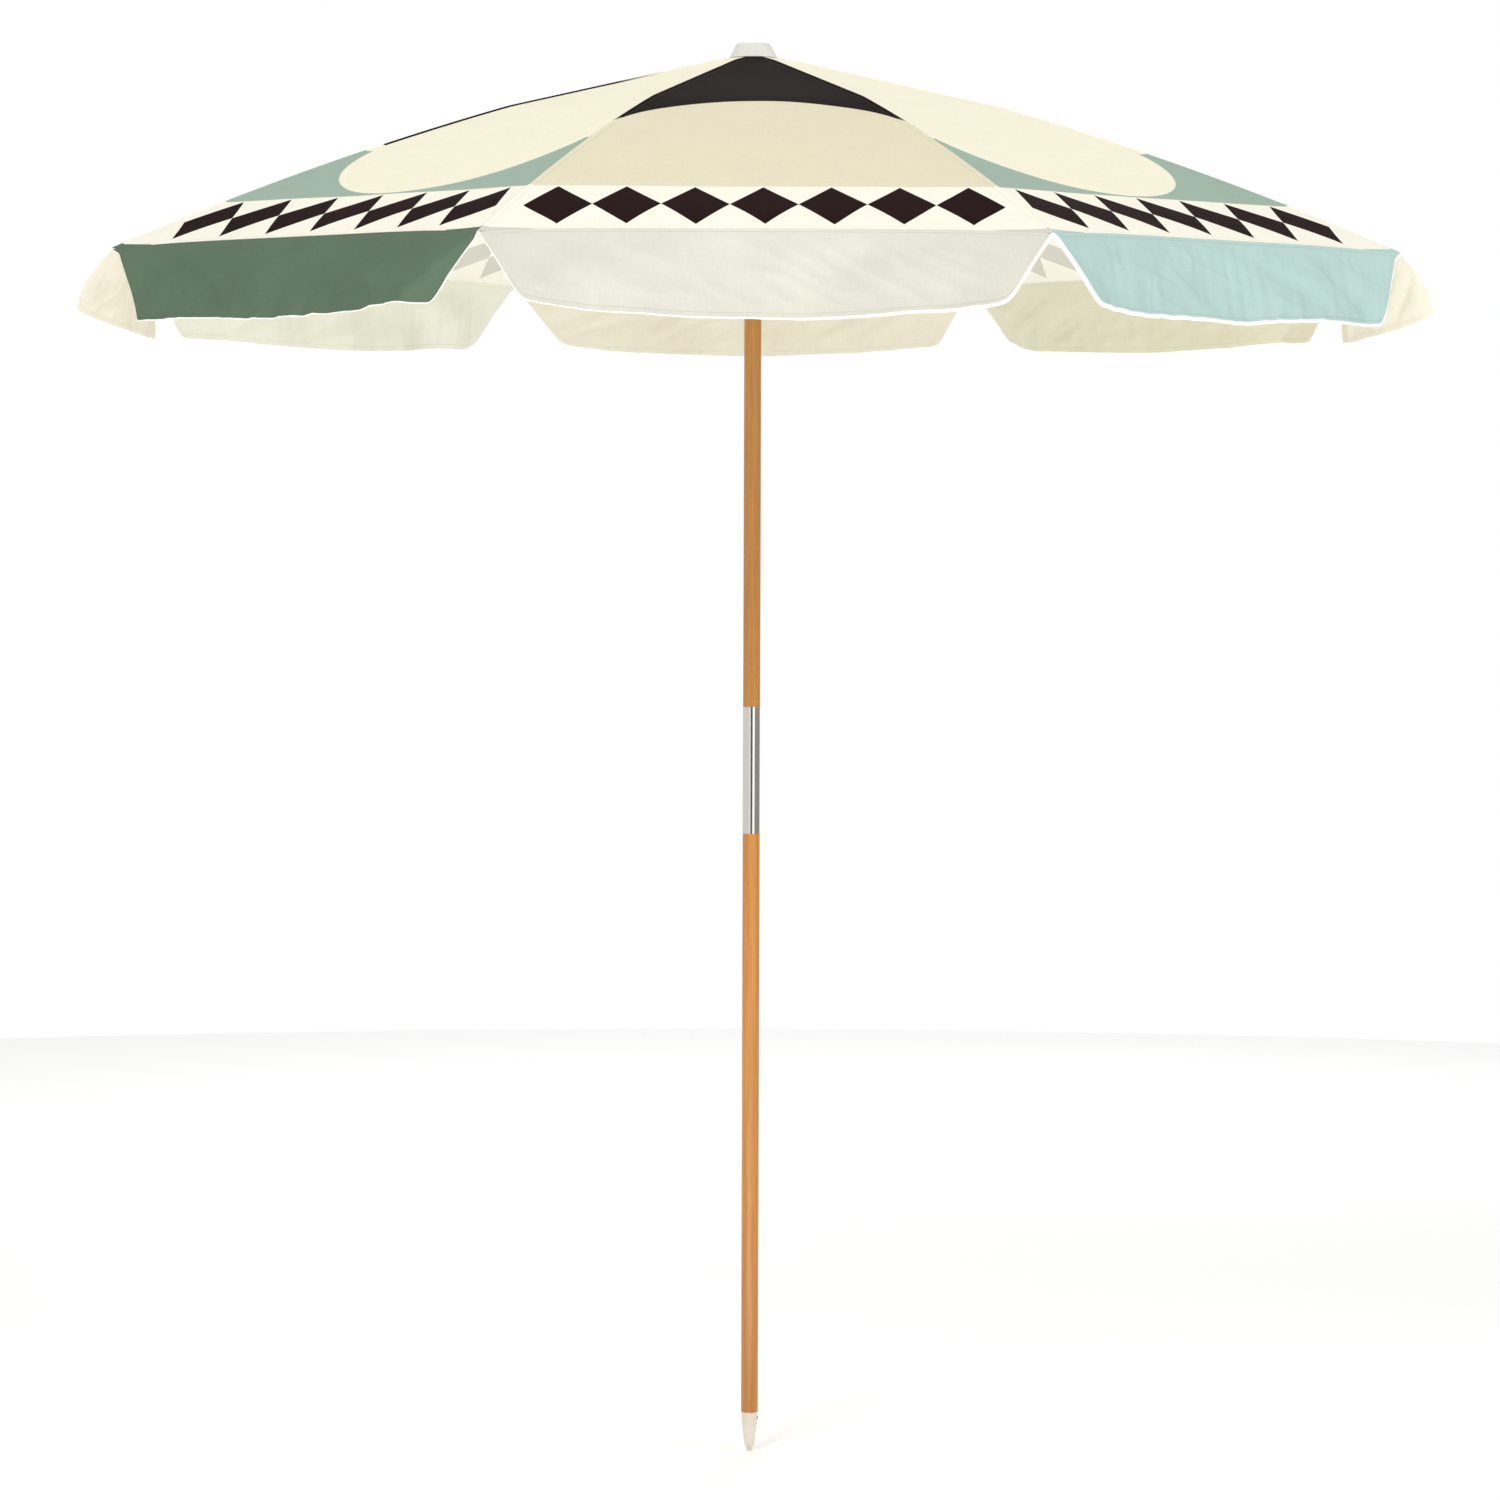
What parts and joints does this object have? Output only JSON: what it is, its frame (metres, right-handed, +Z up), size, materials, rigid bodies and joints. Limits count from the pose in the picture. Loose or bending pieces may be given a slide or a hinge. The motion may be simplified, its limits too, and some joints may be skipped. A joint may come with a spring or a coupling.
{
  "type": "beach umbrella",
  "caption": "Beach umbrella with a printed panelled canopy, a hanging flap on each side, a two-piece wooden pole with a steel joint sleeve and a ground spike; it folds and comes apart.",
  "frame": {"origin": "under the tip of the ground spike, on the pole's axis", "axes": "+Z up along the pole; a panel's middle faces -Y, the front; +X to the right seen from the front"},
  "size_m": [2.1598, 2.1598, 2.3],
  "materials": {
    "lower_pole_wood": "varnished",
    "upper_pole_wood": "varnished",
    "ferrule_steel": "polished",
    "spike_plastic": "moulded",
    "crown_plastic": "moulded",
    "rod_paint": "white coat",
    "steel_small": "plain",
    "screw_dark": "dark",
    "cloth_print": "printed woven",
    "flap_cloth": "woven"
  },
  "bodies": {
    "lower_body": {"lower_pole": "lower_pole_wood", "ground_spike": "spike_plastic", "spike_screw": "screw_dark"},
    "upper_body": {"upper_pole": "upper_pole_wood", "ferrule": "ferrule_steel", "crown_hub": "crown_plastic", "crown_ring": "steel_small", "crown_cap": "crown_plastic", "cap_screw": "steel_small"},
    "rib_body_1": {"rib_1": "rod_paint", "rib_tip_1": "screw_dark", "rib_bracket_1": "steel_small", "canopy_1": "cloth_print", "valance_1": "flap_cloth"},
    "rib_body_2": {"rib_2": "rod_paint", "rib_tip_2": "screw_dark", "rib_bracket_2": "steel_small", "canopy_2": "cloth_print", "valance_2": "flap_cloth"},
    "rib_body_3": {"rib_3": "rod_paint", "rib_tip_3": "screw_dark", "rib_bracket_3": "steel_small", "canopy_3": "cloth_print", "valance_3": "flap_cloth"},
    "rib_body_4": {"rib_4": "rod_paint", "rib_tip_4": "screw_dark", "rib_bracket_4": "steel_small", "canopy_4": "cloth_print", "valance_4": "flap_cloth"},
    "rib_body_5": {"rib_5": "rod_paint", "rib_tip_5": "screw_dark", "rib_bracket_5": "steel_small", "canopy_5": "cloth_print", "valance_5": "flap_cloth"},
    "rib_body_6": {"rib_6": "rod_paint", "rib_tip_6": "screw_dark", "rib_bracket_6": "steel_small", "canopy_6": "cloth_print", "valance_6": "flap_cloth"},
    "rib_body_7": {"rib_7": "rod_paint", "rib_tip_7": "screw_dark", "rib_bracket_7": "steel_small", "canopy_7": "cloth_print", "valance_7": "flap_cloth"},
    "rib_body_8": {"rib_8": "rod_paint", "rib_tip_8": "screw_dark", "rib_bracket_8": "steel_small", "canopy_8": "cloth_print", "valance_8": "flap_cloth"},
    "stretcher_body_1": {"stretcher_1": "rod_paint"},
    "stretcher_body_2": {"stretcher_2": "rod_paint"},
    "stretcher_body_3": {"stretcher_3": "rod_paint"},
    "stretcher_body_4": {"stretcher_4": "rod_paint"},
    "stretcher_body_5": {"stretcher_5": "rod_paint"},
    "stretcher_body_6": {"stretcher_6": "rod_paint"},
    "stretcher_body_7": {"stretcher_7": "rod_paint"},
    "stretcher_body_8": {"stretcher_8": "rod_paint"},
    "runner_body": {"runner": "crown_plastic", "runner_ring": "steel_small"},
    "catch_body": {"runner_catch": "steel_small"}
  },
  "joints": [
    {"name": "pole_separation", "type": "slide", "parent": "lower_body", "child": "upper_body", "axis": [0, 0, 1], "range_m": [0, 0.13]},
    {"name": "canopy_fold", "type": "hinge", "parent": "upper_body", "child": "rib_body_1", "pos_m": [-0.01148, -0.02772, 2.27252], "axis": [0.9239, -0.3827, 0], "range_deg": [0, 70], "deforming": ["canopy_1", "canopy_2", "canopy_3", "canopy_4", "canopy_5", "canopy_6", "canopy_7", "canopy_8", "valance_1", "valance_2", "valance_3", "valance_4", "valance_5", "valance_6", "valance_7", "valance_8", "runner_catch"]},
    {"name": "rib_hinge_2", "type": "hinge", "parent": "upper_body", "child": "rib_body_2", "pos_m": [0.01148, -0.02772, 2.27252], "axis": [0.9239, 0.3827, 0], "range_deg": [0, 70]},
    {"name": "rib_hinge_3", "type": "hinge", "parent": "upper_body", "child": "rib_body_3", "pos_m": [0.02772, -0.01148, 2.27252], "axis": [0.3827, 0.9239, 0], "range_deg": [0, 70]},
    {"name": "rib_hinge_4", "type": "hinge", "parent": "upper_body", "child": "rib_body_4", "pos_m": [0.02772, 0.01148, 2.27252], "axis": [-0.3827, 0.9239, 0], "range_deg": [0, 70]},
    {"name": "rib_hinge_5", "type": "hinge", "parent": "upper_body", "child": "rib_body_5", "pos_m": [0.01148, 0.02772, 2.27252], "axis": [-0.9239, 0.3827, 0], "range_deg": [0, 70]},
    {"name": "rib_hinge_6", "type": "hinge", "parent": "upper_body", "child": "rib_body_6", "pos_m": [-0.01148, 0.02772, 2.27252], "axis": [-0.9239, -0.3827, 0], "range_deg": [0, 70]},
    {"name": "rib_hinge_7", "type": "hinge", "parent": "upper_body", "child": "rib_body_7", "pos_m": [-0.02772, 0.01148, 2.27252], "axis": [-0.3827, -0.9239, 0], "range_deg": [0, 70]},
    {"name": "rib_hinge_8", "type": "hinge", "parent": "upper_body", "child": "rib_body_8", "pos_m": [-0.02772, -0.01148, 2.27252], "axis": [0.3827, -0.9239, 0], "range_deg": [0, 70]},
    {"name": "stretcher_hinge_1", "type": "hinge", "parent": "rib_body_1", "child": "stretcher_body_1", "pos_m": [-0.15885, -0.3835, 2.17161], "axis": [0.9239, -0.3827, 0], "range_deg": [-140, 0]},
    {"name": "stretcher_hinge_2", "type": "hinge", "parent": "rib_body_2", "child": "stretcher_body_2", "pos_m": [0.15885, -0.3835, 2.17161], "axis": [0.9239, 0.3827, 0], "range_deg": [-140, 0]},
    {"name": "stretcher_hinge_3", "type": "hinge", "parent": "rib_body_3", "child": "stretcher_body_3", "pos_m": [0.3835, -0.15885, 2.17161], "axis": [0.3827, 0.9239, 0], "range_deg": [-140, 0]},
    {"name": "stretcher_hinge_4", "type": "hinge", "parent": "rib_body_4", "child": "stretcher_body_4", "pos_m": [0.3835, 0.15885, 2.17161], "axis": [-0.3827, 0.9239, 0], "range_deg": [-140, 0]},
    {"name": "stretcher_hinge_5", "type": "hinge", "parent": "rib_body_5", "child": "stretcher_body_5", "pos_m": [0.15885, 0.3835, 2.17161], "axis": [-0.9239, 0.3827, 0], "range_deg": [-140, 0]},
    {"name": "stretcher_hinge_6", "type": "hinge", "parent": "rib_body_6", "child": "stretcher_body_6", "pos_m": [-0.15885, 0.3835, 2.17161], "axis": [-0.9239, -0.3827, 0], "range_deg": [-140, 0]},
    {"name": "stretcher_hinge_7", "type": "hinge", "parent": "rib_body_7", "child": "stretcher_body_7", "pos_m": [-0.3835, 0.15885, 2.17161], "axis": [-0.3827, -0.9239, 0], "range_deg": [-140, 0]},
    {"name": "stretcher_hinge_8", "type": "hinge", "parent": "rib_body_8", "child": "stretcher_body_8", "pos_m": [-0.3835, -0.15885, 2.17161], "axis": [0.3827, -0.9239, 0], "range_deg": [-140, 0]},
    {"name": "runner_hinge", "type": "hinge", "parent": "stretcher_body_1", "child": "runner_body", "pos_m": [-0.01148, -0.02772, 2.07069], "axis": [0.9239, -0.3827, 0], "range_deg": [0, 70]},
    {"name": "catch_press", "type": "hinge", "parent": "upper_body", "child": "catch_body", "pos_m": [0, -0.0124, 1.98219], "axis": [1, 0, 0], "range_deg": [-8, 0], "stiffness_Nm_per_rad": 0.5}
  ],
  "couplings": [
    {"joint": "rib_hinge_2", "follows": "canopy_fold", "ratio": 1},
    {"joint": "rib_hinge_3", "follows": "canopy_fold", "ratio": 1},
    {"joint": "rib_hinge_4", "follows": "canopy_fold", "ratio": 1},
    {"joint": "rib_hinge_5", "follows": "canopy_fold", "ratio": 1},
    {"joint": "rib_hinge_6", "follows": "canopy_fold", "ratio": 1},
    {"joint": "rib_hinge_7", "follows": "canopy_fold", "ratio": 1},
    {"joint": "rib_hinge_8", "follows": "canopy_fold", "ratio": 1},
    {"joint": "stretcher_hinge_1", "follows": "canopy_fold", "ratio": -2},
    {"joint": "stretcher_hinge_2", "follows": "canopy_fold", "ratio": -2},
    {"joint": "stretcher_hinge_3", "follows": "canopy_fold", "ratio": -2},
    {"joint": "stretcher_hinge_4", "follows": "canopy_fold", "ratio": -2},
    {"joint": "stretcher_hinge_5", "follows": "canopy_fold", "ratio": -2},
    {"joint": "stretcher_hinge_6", "follows": "canopy_fold", "ratio": -2},
    {"joint": "stretcher_hinge_7", "follows": "canopy_fold", "ratio": -2},
    {"joint": "stretcher_hinge_8", "follows": "canopy_fold", "ratio": -2},
    {"joint": "runner_hinge", "follows": "canopy_fold", "ratio": 1}
  ]
}
